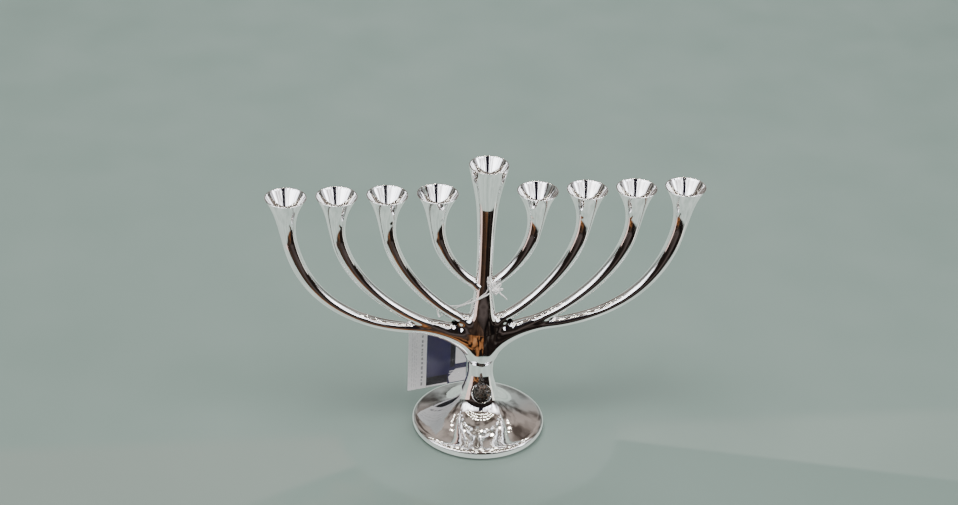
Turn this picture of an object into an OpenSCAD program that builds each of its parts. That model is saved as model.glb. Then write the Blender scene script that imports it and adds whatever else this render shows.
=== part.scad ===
// Nine-branch table menorah: a hollow foot, a neck and a branching hub carry a
// centre stem and eight curved arms. Every arm ends in a flared candle cup. A
// swing tag hangs from a thread tied round the stem.
// Frame: +Z up, +X along the row of cups, origin at the centre of the standing face.

/* [Branches] */
// Distance between neighbouring candle cups
pitch = 28; // [26:0.5:32]
// Arms on each side of the stem
arms_per_side = 4; // [4:1:4]
// Height of the rims of the eight cups
rim_z = 155; // [150:1:160]
// Height where each cup sits on its arm
seat_z = 127; // [124:1:129]
// Lean of an arm where it meets its cup, from horizontal
seat_lean = 78; // [74:1:84]
// Radius of an arm at the hub
arm_r_root = 3.15; // [3:0.05:3.5]
// Radius of an arm at its cup
arm_r_seat = 4.1; // [3.8:0.05:4.4]

/* [Candle cups] */
// Outer radius of a cup's rim
rim_r = 11.7; // [11:0.1:12.5]
// Radius of the candle socket
socket_r = 5; // [4.8:0.05:5.2]
// Depth of the straight candle socket
socket_h = 5; // [4:0.5:5]
// Depth of the flared mouth above the socket
mouth_h = 10.5; // [9:0.5:11]
// Thickness of the metal at the rim
rim_wall = 0.8; // [0.6:0.1:1.2]
// Height of the rim of the centre cup
shamash_z = 172; // [168:1:178]
// Outer radius of the centre cup's rim
shamash_r = 11.2; // [10.8:0.1:12]

/* [Foot, neck and hub] */
// Widest radius of the foot
foot_r = 38.4; // [36:0.2:42]
// Height of the joint between foot and neck
neck_z = 24; // [24:1:26]
// Height of the joint between neck and hub
hub_z = 44; // [43:1:45]
// Height of the joint between hub and stem
stem_z = 84; // [82:1:86]
// Thickness of the felt pad
felt_t = 1.6; // [1.2:0.2:2]

/* [Crystal boss] */
// Radius of the ball of stones
boss_r = 5.2; // [5:0.1:5.5]
// Height of the ball's centre
boss_z = 30.3; // [30:0.1:31]
// Distance of the ball's centre in front of the axis
boss_y = 12.9; // [12.7:0.1:13]
// Upward tilt of the ball's axis
boss_tilt = 42; // [40:1:43]
// Radius of one stone's girdle
stone_r = 1.04; // [0.9:0.02:1.06]

/* [Swing tag] */
// Width of the clear sleeve
tag_w = 38.5; // [34:0.5:40]
// Height of the clear sleeve
tag_h = 51.2; // [46:0.2:52]
// Thickness of the sleeve
tag_t = 1.3; // [1.2:0.1:1.6]
// Width of the white label strip
label_w = 11.4; // [8:0.2:14]
// Height of the printed card
card_h = 41; // [36:1:44]
// Turn of the tag about the vertical
tag_yaw = 14; // [10:1:18]
// Diameter of the thread
thread_d = 1; // [0.8:0.1:1.2]

/* [Hidden] */
$fn = 64;

chrome = [0.82, 0.83, 0.84];
steel = [0.55, 0.56, 0.58];
felt = [0.12, 0.13, 0.14];
smoke = [0.16, 0.12, 0.10];
navy = [0.10, 0.09, 0.28];
paper = [0.86, 0.84, 0.86];
film = [0.85, 0.90, 0.92];
thread = [0.95, 0.93, 0.93];

eps = 0.01;

// --- curves -------------------------------------------------------------
function dir(a) = [cos(a), sin(a)];
function bez(p, t) = pow(1 - t, 3) * p[0] + 3 * pow(1 - t, 2) * t * p[1]
    + 3 * (1 - t) * t * t * p[2] + pow(t, 3) * p[3];
function bez_dir(p, t) = pow(1 - t, 2) * (p[1] - p[0]) + 2 * (1 - t) * t * (p[2] - p[1])
    + t * t * (p[3] - p[2]);
function unit(v) = v / norm(v);
// Points of a chain of cubic curves, each one n steps long
function chain(curves, n) = concat(
    [curves[0][0]],
    [for (c = curves) for (i = [1:n]) bez(c, i / n)]
);

// --- arms: start on the hub or stem, slope there, handle lengths ------------
// One row for each arm: [start x, start z, start slope, start handle, end handle,
// seat inset, share of the curve that belongs to the hub]
arm_rows = [
    [3, 95.5, 25, 9, 16, 1.4, 0],
    [13, 74, 30, 14, 26, 1.7, 0],
    [29, 70.3, 17, 16, 30, 1.5, 0.24],
    [38, 68.2, 5, 37, 37, 2.2, 0.06]
];
// One row for each root inside the hub: [start x, start z, handle x, handle z, end handle, radius]
root_rows = [
    [0, 0, 0, 0, 0, 0],
    [1, 60, 4, 67, 5, 5.5],
    [3, 52, 7, 62, 9, 6],
    [2.5, 49, 7, 59, 15, 6.6]
];
// Webs that fill the forks of the hub: [x, z, radius] at each end
web_rows = [
    [[3, 57, 6], [15, 68, 3.5]],
    [[4, 71, 3.8], [12, 72.2, 3.3]]
];
function row(n) = arm_rows[n - 1];
function arm_start(n) = [row(n)[0], row(n)[1]];
function arm_slope(n) = row(n)[2];
function seat(n) = [pitch * n - row(n)[5], seat_z];
function hub_share(n) = row(n)[6];
function arm_curve(n) = [
    arm_start(n),
    arm_start(n) + row(n)[3] * dir(arm_slope(n)),
    seat(n) - row(n)[4] * dir(seat_lean),
    seat(n)
];
function cup_curve(n) = [
    seat(n),
    seat(n) + 11 * dir(seat_lean),
    [pitch * n, rim_z - 9],
    [pitch * n, rim_z]
];
function root_curve(n) = let (r = root_rows[n - 1]) [
    [r[0], r[1]],
    [r[2], r[3]],
    arm_start(n) - r[4] * dir(arm_slope(n)),
    arm_start(n)
];
// An arm is even near the hub and swells a little towards its cup
function arm_r(t) = arm_r_root + (arm_r_seat - arm_r_root) * smooth((t - 0.3) / 0.7);
function smooth(t) = let (c = min(1, max(0, t))) c * c * (3 - 2 * c);
// The cup's outside flares from the arm to the rim: t runs 0 to 1 from the seat
function cup_r(t) = arm_r_seat + (rim_r - arm_r_seat) * (0.27 * t + 0.73 * pow(t, 2.75));
spigot_r = 1.8;
spigot_l = 5;

// A round bar swept along a curve in the XZ plane: rings[i] = [curve point, direction, radius]
module bar(rings, sides) {
    n = len(rings);
    pts = [
        for (s = rings) for (k = [0:sides - 1])
            let (a = 360 * k / sides, q = s[0] + s[2] * cos(a) * [-s[1][1], s[1][0]])
                [q[0], s[2] * sin(a), q[1]]
    ];
    skin = [
        for (i = [0:n - 2]) for (k = [0:sides - 1])
            let (a = i * sides + k, b = i * sides + (k + 1) % sides)
                [a, b, b + sides, a + sides]
    ];
    first = [for (k = [sides - 1:-1:0]) k];
    last = [for (k = [0:sides - 1]) (n - 1) * sides + k];
    polyhedron(points = pts, faces = concat([first], skin, [last]), convexity = 6);
}
// Rings along a curve p at each parameter in ts, with the radius at each
function rings_along(p, ts, radii) = [
    for (i = [0:len(ts) - 1]) [bez(p, ts[i]), unit(bez_dir(p, ts[i])), radii[i]]
];
function steps_between(a, b, n) = [for (i = [0:n]) a + (b - a) * i / n];
// Where an arm leaves the hub: point and slope
function joint_at(n) = bez(arm_curve(n), hub_share(n));
function joint_slope(n) = let (d = bez_dir(arm_curve(n), hub_share(n))) atan2(d[1], d[0]);
// A peg from point p in the XZ plane, l long, in direction a degrees from +X
module peg(p, a, r, l) {
    translate([p[0], 0, p[1]]) rotate([0, 90 - a, 0]) cylinder(h = l, r = r);
}

module arm(n) {
    ts = steps_between(hub_share(n), 1, 14);
    color(chrome) {
        difference() {
            bar(rings_along(arm_curve(n), ts, [for (t = ts) arm_r(t)]), 16);
            if (n == 1) stem_solid();
        }
        inner = joint_at(n) + (n == 1 ? 3.2 : eps) * dir(joint_slope(n));
        peg(inner, joint_slope(n) + 180, spigot_r, spigot_l);
        peg(seat(n) - eps * dir(seat_lean), seat_lean, spigot_r, spigot_l);
    }
}

module cup(n) {
    ts = steps_between(0, 1, 12);
    color(chrome) difference() {
        bar(rings_along(cup_curve(n), ts, [for (t = ts) cup_r(t)]), 24);
        translate([pitch * n, 0, 0]) candle_hollow(rim_z, rim_r);
        peg(seat(n) - dir(seat_lean), seat_lean, spigot_r, spigot_l + 1.2);
    }
}

// The space for a candle: a straight socket under a flared mouth
module candle_hollow(top, r) {
    translate([0, 0, top - mouth_h - socket_h]) cylinder(h = socket_h + eps, r = socket_r);
    translate([0, 0, top - mouth_h])
        cylinder(h = mouth_h, r1 = socket_r, r2 = r - rim_wall);
    translate([0, 0, top - eps]) cylinder(h = 1, r = r - rim_wall);
}

// --- foot and felt ----------------------------------------------------------
// Height of the joint between the stem and its cup
cup_seat = 146;
// Height of the foot's lower edge, which the felt lifts off the shelf
foot_base = 0.4;
foot_curves = [
    [[foot_r - 3.4, foot_base], [foot_r - 1.2, foot_base], [foot_r, 2.2], [foot_r, 4.2]],
    [[foot_r, 4.2], [foot_r, 5.6], [foot_r - 1.4, 6.4], [foot_r - 3.9, 7.1]],
    [[foot_r - 3.9, 7.1], [26, 9.5], [13.2, 13.4], [10.6, neck_z]]
];
neck_curves = [
    [[10.6, neck_z], [9.4, 29], [7.3, 33], [7.3, 39]],
    [[7.3, 39], [7.3, 41], [7.4, 42.5], [7.5, hub_z]]
];
hub_curves = [
    [[7.5, hub_z], [7.65, 46.3], [8.5, 49], [8.6, 53]],
    [[8.6, 53], [8.7, 61], [7.9, 74.4], [6.2, stem_z]]
];
stem_curves = [
    [[6.2, stem_z], [4.7, 92.5], [4.35, 107], [4.7, 122]],
    [[4.7, 122], [4.95, 131], [5.4, 139], [6.1, 146]]
];
shamash_curves = [
    [[6.1, cup_seat], [7.2, 155], [8.9, 161], [9.4, 163.5]],
    [[9.4, 163.5], [10.1, 167], [10.9, 169.5], [shamash_r, shamash_z]]
];
// The tie bolt: shank, clearance round it, faces it bears on and ends at, and its head
bolt_r = 2.5;
bolt_gap = 0.25;
bolt_under = 14;
bolt_top = 58;
bolt_head_r = 4.6;
bolt_head_h = 3.9;
washer_r = 6.5;
washer_t = 1;
// Plugs that centre one turned piece in the next: under the neck, under the hub,
// under the stem and under the centre cup
collar_r = 6;
collar_h = 3;
hub_plug_r = 4.5;
hub_plug_h = 3;
stem_plug_r = 3;
stem_plug_h = 5;
cup_plug_r = 3.2;
cup_plug_h = 4;

// A solid of revolution under a chain of curves, closed down the axis
module turned(curves, steps) {
    outline = chain(curves, steps);
    rotate_extrude()
        polygon(concat([[0, outline[0][1]]], outline, [[0, outline[len(outline) - 1][1]]]));
}

module foot() {
    color(chrome) difference() {
        turned(foot_curves, 8);
        // hollow underside
        rotate_extrude() polygon(concat(
            [[0, foot_base - 1], [foot_r - 5, foot_base - 1], [foot_r - 5, 2.5]],
            chain([[[foot_r - 5, 2.5], [foot_r - 8, 5], [20, 7.4], [10.5, bolt_under]]], 8),
            [[0, bolt_under]]
        ));
        translate([0, 0, foot_base - 1]) cylinder(h = felt_t - foot_base + 1, r = foot_r - 4);
        cylinder(h = neck_z + 1, r = bolt_r + bolt_gap);
        translate([0, 0, neck_z - collar_h]) cylinder(h = collar_h + 1, r = collar_r);
    }
}

module felt_pad() {
    color(felt) cylinder(h = felt_t, r = foot_r - 4);
}

module tie_bolt() {
    color(steel) {
        head_top = bolt_under - washer_t;
        translate([0, 0, head_top - bolt_head_h])
            cylinder(h = bolt_head_h, r = bolt_head_r, $fn = 6);
        translate([0, 0, head_top - eps]) cylinder(h = bolt_top - head_top + eps, r = bolt_r);
    }
}

module bolt_washer() {
    color(steel) translate([0, 0, bolt_under - washer_t]) difference() {
        cylinder(h = washer_t, r = washer_r);
        translate([0, 0, -1]) cylinder(h = washer_t + 2, r = bolt_r + bolt_gap);
    }
}

// --- neck, hub and stem -------------------------------------------------------
module neck() {
    color(chrome) difference() {
        union() {
            turned(neck_curves, 8);
            translate([0, 0, neck_z - collar_h]) cylinder(h = collar_h + eps, r = collar_r);
            translate([0, 0, hub_z - eps]) cylinder(h = hub_plug_h + eps, r = hub_plug_r);
        }
        translate([0, 0, neck_z - 4]) cylinder(h = hub_z, r = bolt_r + bolt_gap);
        // seat for the boss, and the hole for its stud
        bezel_cone();
        on_boss() translate([0, 0, -stud_back]) cylinder(h = stud_back, r = stud_r);
    }
}

// A root thins as it leaves the hub's middle, then runs on as the start of its arm
module root(n) {
    ts = steps_between(0, 1, 8);
    thick = root_rows[n - 1][5] - arm_r_root;
    inner = rings_along(root_curve(n), ts, [for (t = ts) arm_r_root + thick * pow(1 - t, 1.2)]);
    on = hub_share(n) > 0 ? steps_between(hub_share(n) / 3, hub_share(n), 2) : [];
    outer = len(on) > 0 ? rings_along(arm_curve(n), on, [for (t = on) arm_r(t)]) : [];
    bar(concat(inner, outer), 16);
}

module web(ends) {
    from = [ends[0][0], ends[0][1]];
    to = [ends[1][0], ends[1][1]];
    way = unit(to - from);
    bar([[from, way, ends[0][2]], [to, way, ends[1][2]]], 16);
}

module hub() {
    color(chrome) difference() {
        union() {
            turned(hub_curves, 7);
            for (n = [2:arms_per_side]) {
                root(n);
                mirror([1, 0, 0]) root(n);
            }
            for (ends = web_rows) {
                web(ends);
                mirror([1, 0, 0]) web(ends);
            }
        }
        translate([0, 0, hub_z - 1]) cylinder(h = hub_plug_h + 1, r = hub_plug_r);
        translate([0, 0, hub_z]) cylinder(h = bolt_top - hub_z, r = bolt_r);
        translate([0, 0, stem_z - stem_plug_h]) cylinder(h = stem_plug_h + 1, r = stem_plug_r);
        for (n = [2:arms_per_side]) {
            arm_hole(n);
            mirror([1, 0, 0]) arm_hole(n);
        }
    }
}

module arm_hole(n) {
    peg(joint_at(n) + dir(joint_slope(n)), joint_slope(n) + 180, spigot_r, spigot_l + 1);
}

module stem_solid() {
    turned(stem_curves, 7);
}

module stem() {
    color(chrome) difference() {
        union() {
            stem_solid();
            translate([0, 0, stem_z - stem_plug_h])
                cylinder(h = stem_plug_h + eps, r = stem_plug_r);
            translate([0, 0, cup_seat - eps]) cylinder(h = cup_plug_h + eps, r = cup_plug_r);
        }
        first_arm_hole();
        mirror([1, 0, 0]) first_arm_hole();
    }
}

module first_arm_hole() {
    peg(arm_start(1) + 8 * dir(arm_slope(1)), arm_slope(1) + 180, spigot_r, spigot_l + 4.8);
}

module shamash_cup() {
    color(chrome) difference() {
        turned(shamash_curves, 8);
        candle_hollow(shamash_z, shamash_r);
        translate([0, 0, cup_seat - 1]) cylinder(h = cup_plug_h + 1, r = cup_plug_r);
    }
}

// --- crystal boss ---------------------------------------------------------------
// Distances behind the ball's centre: back of the bezel, its lip, and the end of the stud
bezel_l = 5.2;
bezel_drop = 2.5;
stud_back = 7.4;
bezel_r = boss_r + 0.8;
bezel_foot_r = boss_r - 1.5;
bezel_bore_r = boss_r - 0.4;
stud_r = 1.2;
core_r = boss_r - 0.75;
// Depth of the stud's hole in the ball
core_hole = 2;
// One row for each ring of stones: [angle from the front, number of stones]
stone_rings = [[0, 1], [27, 6], [53, 11], [79, 14], [105, 13]];

module on_boss() {
    translate([0, -boss_y, boss_z]) rotate([90 - boss_tilt, 0, 0]) children();
}

// The outside of the bezel, which also cuts its seat in the neck
module bezel_cone() {
    on_boss() translate([0, 0, -bezel_l])
        cylinder(h = bezel_l - bezel_drop, r1 = bezel_foot_r, r2 = bezel_r);
}

module boss_bezel() {
    color(chrome) difference() {
        bezel_cone();
        on_boss() sphere(r = bezel_bore_r);
        on_boss() translate([0, 0, -bezel_l - 1]) cylinder(h = bezel_l, r = stud_r);
    }
}

module boss_core() {
    color(smoke) on_boss() difference() {
        sphere(r = core_r);
        translate([0, 0, -core_r - 1]) cylinder(h = core_hole + 1, r = stud_r);
    }
}

module stone() {
    translate([0, 0, -0.55]) cylinder(h = 0.55, r1 = 0.35, r2 = stone_r, $fn = 8);
    translate([0, 0, -eps]) cylinder(h = 0.15 + eps, r = stone_r, $fn = 8);
    translate([0, 0, 0.15 - eps]) cylinder(h = 0.4, r1 = stone_r, r2 = 0.6 * stone_r, $fn = 8);
}

module boss_stones() {
    color(smoke) on_boss()
        for (ring = stone_rings) for (k = [0:ring[1] - 1])
            rotate([0, 0, 360 * k / ring[1]]) rotate([0, ring[0], 0])
                translate([0, 0, boss_r - 0.5]) stone();
}

module boss_stud() {
    color(steel) on_boss() translate([0, 0, -stud_back])
        cylinder(h = stud_back - core_r + core_hole, r = stud_r);
}

// --- swing tag --------------------------------------------------------------------
// The thread carries the tag at this point, which is also on its swing axis
tag_pivot = [-22.3, 20.7, 62.2];
tag_top = 2.6;
hole_r = 2.8;
hole_drop = 1;
film_t = 0.3;
print_t = 0.45;
side_gap = 0.8;

module at_tag() {
    translate(tag_pivot) rotate([0, 0, tag_yaw]) children();
}
// A flat sheet standing in the tag's plane: left edge x, bottom z, width, height, thickness
module sheet(x, z, w, h, t) {
    translate([x, -t / 2, z]) cube([w, t, h]);
}
tag_left = -tag_w / 2;
tag_bottom = tag_top - tag_h;

module tag_sleeve() {
    color(film) at_tag() difference() {
        sheet(tag_left, tag_bottom, tag_w, tag_h, tag_t);
        sheet(tag_left + side_gap, tag_bottom + side_gap, tag_w - 2 * side_gap,
              tag_h - 8, tag_t - 2 * film_t);
        translate([0, tag_t, -hole_drop]) rotate([90, 0, 0]) cylinder(h = 2 * tag_t, r = hole_r);
    }
}

module tag_label() {
    color(paper) at_tag()
        sheet(tag_left + side_gap, tag_bottom + side_gap, label_w, card_h, print_t);
}

module tag_card() {
    x = tag_left + side_gap + label_w + 0.1;
    color(navy) at_tag()
        sheet(x, tag_bottom + side_gap, -tag_left - side_gap - x, card_h, print_t);
}

// --- thread ---------------------------------------------------------------------------
// Route of the loop: from the knot across the front of the stem, down to the tag,
// through its hole and back behind the stem to the knot
string_route = [
    [5.6, -6.0, 95.0], [3.4, -6.3, 93.6], [0.6, -6.4, 91.9], [-2.4, -6.1, 90.0],
    [-5.2, -5.0, 87.8], [-7.6, -3.2, 85.4], [-9.6, -0.6, 83.0], [-11.3, 2.4, 80.4],
    [-13.2, 5.4, 77.6], [-15.4, 8.4, 74.7], [-17.6, 11.6, 71.6], [-19.6, 14.6, 68.6],
    [-21.0, 16.9, 65.9], [-21.8, 18.4, 63.5], [-22.3, 20.7, 62.2], [-22.8, 23.0, 63.5],
    [-22.9, 23.5, 66.1], [-22.2, 22.3, 68.5], [-20.6, 19.7, 70.4], [-18.6, 16.6, 72.0],
    [-16.4, 13.4, 73.5], [-14.2, 10.4, 75.2], [-12.2, 7.8, 77.1], [-10.2, 6.3, 78.9],
    [-8.0, 6.1, 80.4], [-5.6, 6.6, 81.7], [-2.8, 7.6, 83.1], [0.4, 7.9, 84.6],
    [3.4, 7.0, 86.2], [5.8, 4.8, 87.9], [7.1, 1.6, 89.8], [7.1, -1.8, 91.8],
    [6.6, -4.4, 93.6], [5.9, -6.0, 95.2]
];
thread_sides = 8;

function route_point(i) = string_route[min(len(string_route) - 1, max(0, i))];
function route_dir(i) = unit(route_point(i + 1) - route_point(i - 1));
// A ring's first side is kept square to the one before, so the thread never twists
function turn_frame(u, d) = unit(u - (u * d) * d);
function frames(i, u) = i == len(string_route) ? [] :
    let (v = turn_frame(u, route_dir(i))) concat([v], frames(i + 1, v));

module string_loop() {
    n = len(string_route);
    side = frames(0, [0, 1, 0.3]);
    pts = [
        for (i = [0:n - 1]) for (k = [0:thread_sides - 1])
            let (a = 360 * k / thread_sides, u = side[i], v = cross(route_dir(i), u))
                string_route[i] + thread_d / 2 * (cos(a) * u + sin(a) * v)
    ];
    skin = [
        for (i = [0:n - 2]) for (k = [0:thread_sides - 1])
            let (a = i * thread_sides + k, b = i * thread_sides + (k + 1) % thread_sides)
                [a, a + thread_sides, b + thread_sides, b]
    ];
    first = [for (k = [0:thread_sides - 1]) k];
    last = [for (k = [thread_sides - 1:-1:0]) (n - 1) * thread_sides + k];
    color(thread) polyhedron(points = pts, faces = concat([first], skin, [last]), convexity = 8);
}

// The bow: a knot with two ears and two loose ends
knot_at = [5.8, -6.6, 95.3];
knot_ends = [[2.6, -7.2, 101.2], [8.2, -7.4, 98.6], [9.8, -7.6, 93.6], [13.2, -7.4, 90.2]];

// A tapered rod from point a to point b
module rod(a, b, r1, r2) {
    d = b - a;
    translate(a) rotate([0, acos(d[2] / norm(d)), atan2(d[1], d[0])])
        cylinder(h = norm(d), r1 = r1, r2 = r2);
}

module string_knot() {
    color(thread) {
        translate(knot_at) sphere(r = 1.5);
        for (e = knot_ends) rod(knot_at, e, 0.8, thread_d / 2);
    }
}

foot();
felt_pad();
tie_bolt();
bolt_washer();
neck();
hub();
stem();
shamash_cup();
mirror([1, 0, 0]) arm(1);  // arm_left_1
mirror([1, 0, 0]) arm(2);  // arm_left_2
mirror([1, 0, 0]) arm(3);  // arm_left_3
mirror([1, 0, 0]) arm(4);  // arm_left_4
arm(1);  // arm_right_1
arm(2);  // arm_right_2
arm(3);  // arm_right_3
arm(4);  // arm_right_4
mirror([1, 0, 0]) cup(1);  // cup_left_1
mirror([1, 0, 0]) cup(2);  // cup_left_2
mirror([1, 0, 0]) cup(3);  // cup_left_3
mirror([1, 0, 0]) cup(4);  // cup_left_4
cup(1);  // cup_right_1
cup(2);  // cup_right_2
cup(3);  // cup_right_3
cup(4);  // cup_right_4
boss_bezel();
boss_core();
boss_stones();
boss_stud();
tag_sleeve();
tag_card();
tag_label();
string_loop();
string_knot();
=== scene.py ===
"""Looks of the nine-branch menorah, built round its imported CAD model.

Lengths are worked out in millimetres, in the CAD's frame (+Z up, -Y to the front), and
become metres where a mesh is made.
"""
import math

import bmesh
import bpy
import numpy as np
from mathutils import Matrix, Vector


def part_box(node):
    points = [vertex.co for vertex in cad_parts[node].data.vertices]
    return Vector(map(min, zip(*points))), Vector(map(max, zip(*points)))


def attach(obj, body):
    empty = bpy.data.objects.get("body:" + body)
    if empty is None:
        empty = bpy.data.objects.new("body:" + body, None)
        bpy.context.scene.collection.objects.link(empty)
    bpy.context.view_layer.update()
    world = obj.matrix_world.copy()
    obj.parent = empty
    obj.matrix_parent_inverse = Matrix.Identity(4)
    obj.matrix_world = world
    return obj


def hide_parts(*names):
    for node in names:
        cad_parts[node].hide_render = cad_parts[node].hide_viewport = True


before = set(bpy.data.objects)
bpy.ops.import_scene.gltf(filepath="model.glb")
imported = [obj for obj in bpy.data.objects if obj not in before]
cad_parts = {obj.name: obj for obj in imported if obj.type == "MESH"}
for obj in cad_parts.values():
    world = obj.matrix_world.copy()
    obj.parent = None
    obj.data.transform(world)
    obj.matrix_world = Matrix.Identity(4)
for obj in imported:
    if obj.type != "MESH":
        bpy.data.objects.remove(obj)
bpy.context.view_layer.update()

MM = 0.001
SIDES = {"left": -1, "right": 1}


# --- places taken from the frame ------------------------------------------------
def low(node):
    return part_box(node)[0] / MM


def high(node):
    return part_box(node)[1] / MM


PITCH = (low("cup_right_1").x + high("cup_right_1").x) / 2
RIM_Z = high("cup_right_1").z
RIM_R = high("cup_right_1").x - PITCH
SHAMASH_Z = high("shamash_cup").z
SHAMASH_R = high("shamash_cup").x
CUP_SEAT_Z = low("shamash_cup").z
FOOT_R = high("foot").x
FOOT_BASE = low("foot").z
NECK_Z = high("foot").z
HUB_Z = low("hub").z
STEM_Z = high("hub").z
FELT_TOP = high("felt_pad").z
FELT_R = high("felt_pad").x
SEAT_Z = 127.0
SEAT_LEAN = 78.0

# Candle sockets: straight hole, flared mouth, metal left at the rim
SOCKET_R = 5.0
SOCKET_H = 5.0
MOUTH_H = 10.5
RIM_WALL = 0.8

# One row for each arm: start x, start z, start slope, start handle, end handle,
# seat inset, share of the curve that belongs to the hub
ARM_ROWS = [
    (3, 95.5, 25, 9, 16, 1.4, 0),
    (13, 74, 30, 14, 26, 1.7, 0),
    (29, 70.3, 17, 16, 30, 1.5, 0.24),
    (38, 68.2, 5, 37, 37, 2.2, 0.06),
]
# Roots of arms 2, 3 and 4 in the hub: start x, z, handle x, z, end handle, radius
ROOT_ROWS = {2: (1, 60, 4, 67, 5, 5.5), 3: (3, 52, 7, 62, 9, 6), 4: (2.5, 49, 7, 59, 15, 6.6)}
ARM_R_ROOT = 3.15
ARM_R_SEAT = 4.1

# Profiles as chains of cubic curves, (radius, z)
FOOT_CURVES = [
    [(FOOT_R - 3.4, FOOT_BASE), (FOOT_R - 1.2, FOOT_BASE), (FOOT_R, 2.2), (FOOT_R, 4.2)],
    [(FOOT_R, 4.2), (FOOT_R, 5.6), (FOOT_R - 1.4, 6.4), (FOOT_R - 3.9, 7.1)],
    [(FOOT_R - 3.9, 7.1), (26, 9.5), (13.2, 13.4), (10.6, NECK_Z)],
]
FOOT_INSIDE = [[(FOOT_R - 5, 2.5), (FOOT_R - 8, 5), (20, 7.4), (10.5, 14)]]
NECK_CURVES = [
    [(10.6, NECK_Z), (9.4, 29), (7.3, 33), (7.3, 39)],
    [(7.3, 39), (7.3, 41), (7.4, 42.5), (7.5, HUB_Z)],
]
HUB_CURVES = [
    [(7.5, HUB_Z), (7.65, 46.3), (8.5, 49), (8.6, 53)],
    [(8.6, 53), (8.7, 61), (7.9, 74.4), (6.2, STEM_Z)],
]
STEM_CURVES = [
    [(6.2, STEM_Z), (4.7, 92.5), (4.35, 107), (4.7, 122)],
    [(4.7, 122), (4.95, 131), (5.4, 139), (6.1, CUP_SEAT_Z)],
]
SHAMASH_CURVES = [
    [(6.1, CUP_SEAT_Z), (7.2, 155), (8.9, 161), (9.4, 163.5)],
    [(9.4, 163.5), (10.1, 167), (10.9, 169.5), (SHAMASH_R, SHAMASH_Z)],
]


# --- curves ---------------------------------------------------------------------
def bez(p, t):
    """Points of a cubic curve at the parameters t."""
    p = np.asarray(p, float)
    t = np.asarray(t, float)[..., None]
    s = 1 - t
    return s**3 * p[0] + 3 * s * s * t * p[1] + 3 * s * t * t * p[2] + t**3 * p[3]


def bez_dir(p, t):
    """Unit directions of a cubic curve at the parameters t."""
    p = np.asarray(p, float)
    t = np.asarray(t, float)[..., None]
    s = 1 - t
    d = s * s * (p[1] - p[0]) + 2 * s * t * (p[2] - p[1]) + t * t * (p[3] - p[2])
    return d / np.linalg.norm(d, axis=-1, keepdims=True)


def chain(curves, n):
    """Points of a chain of cubic curves, n steps each."""
    steps = np.linspace(0, 1, n + 1)
    return np.vstack([[curves[0][0]]] + [bez(c, steps[1:]) for c in curves])


def heading(degrees):
    return np.array([math.cos(math.radians(degrees)), math.sin(math.radians(degrees))])


def smooth(t):
    t = np.clip(t, 0, 1)
    return t * t * (3 - 2 * t)


def seat(n):
    return np.array([PITCH * n - ARM_ROWS[n - 1][5], SEAT_Z])


def arm_curve(n):
    x, z, slope, reach, end_reach = ARM_ROWS[n - 1][:5]
    start = np.array([x, z])
    return [start, start + reach * heading(slope), seat(n) - end_reach * heading(SEAT_LEAN), seat(n)]


def cup_curve(n):
    return [seat(n), seat(n) + 11 * heading(SEAT_LEAN), (PITCH * n, RIM_Z - 9), (PITCH * n, RIM_Z)]


def root_curve(n):
    x, z, handle_x, handle_z, end_handle, _ = ROOT_ROWS[n]
    start = arm_curve(n)[0]
    return [(x, z), (handle_x, handle_z), start - end_handle * heading(ARM_ROWS[n - 1][2]), start]


def arm_r(t):
    return ARM_R_ROOT + (ARM_R_SEAT - ARM_R_ROOT) * smooth((t - 0.3) / 0.7)


def cup_r(t):
    """The cup's outside: it leaves the arm smoothly and flares to the rim."""
    ease = 0.05
    straight = t - ease * (1 - np.exp(-t / ease))
    return ARM_R_SEAT + (RIM_R - ARM_R_SEAT) * (0.27 * straight + (1 - 0.27 * (1 - ease)) * t**2.75)


# --- meshes ---------------------------------------------------------------------
SHARP_DEG = 40


def placed(name, data):
    """A new object in the scene that carries a mesh, a light or a camera."""
    holder = bpy.data.objects.new(name, data)
    bpy.context.scene.collection.objects.link(holder)
    return holder


def new_piece(name, points, faces, sharp_deg=SHARP_DEG):
    """A smooth-shaded piece from points in millimetres. Edges over sharp_deg stay sharp."""
    mesh = bpy.data.meshes.new(name)
    mesh.from_pydata((np.asarray(points, float) * MM).tolist(), [], faces)
    mesh.validate()
    mesh.shade_smooth()
    mesh.set_sharp_from_angle(angle=math.radians(sharp_deg))
    return placed(name, mesh)


def finished_mesh(name, bm):
    """A mesh from what was built in bm, with every face turned outwards."""
    bmesh.ops.recalc_face_normals(bm, faces=bm.faces)
    mesh = bpy.data.meshes.new(name)
    bm.to_mesh(mesh)
    bm.free()
    return mesh


def ring_faces(rings, sides):
    """Quads between rings of points that follow each other."""
    faces = []
    for i in range(rings - 1):
        for k in range(sides):
            a = i * sides + k
            b = i * sides + (k + 1) % sides
            faces.append((a, b, b + sides, a + sides))
    return faces


def capped_faces(rings, sides):
    """Quads between rings, and one face over each end."""
    faces = ring_faces(rings, sides)
    faces.append(tuple(range(sides - 1, -1, -1)))
    faces.append(tuple((rings - 1) * sides + k for k in range(sides)))
    return faces


def loft(name, rings):
    """A closed skin through rings of points, with a flat cap at each end."""
    rings = np.asarray(rings, float)
    return outward(new_piece(name, rings.reshape(-1, 3), capped_faces(*rings.shape[:2])))


def outward(piece):
    """Joins points that coincide and turns every face outwards."""
    bm = bmesh.new()
    bm.from_mesh(piece.data)
    bmesh.ops.remove_doubles(bm, verts=bm.verts, dist=1e-7)
    bmesh.ops.recalc_face_normals(bm, faces=bm.faces)
    bm.to_mesh(piece.data)
    bm.free()
    piece.data.shade_smooth()
    piece.data.set_sharp_from_angle(angle=math.radians(SHARP_DEG))
    return piece


def circle(sides):
    a = np.linspace(0, 2 * math.pi, sides, endpoint=False)
    return np.cos(a), np.sin(a)


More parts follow.
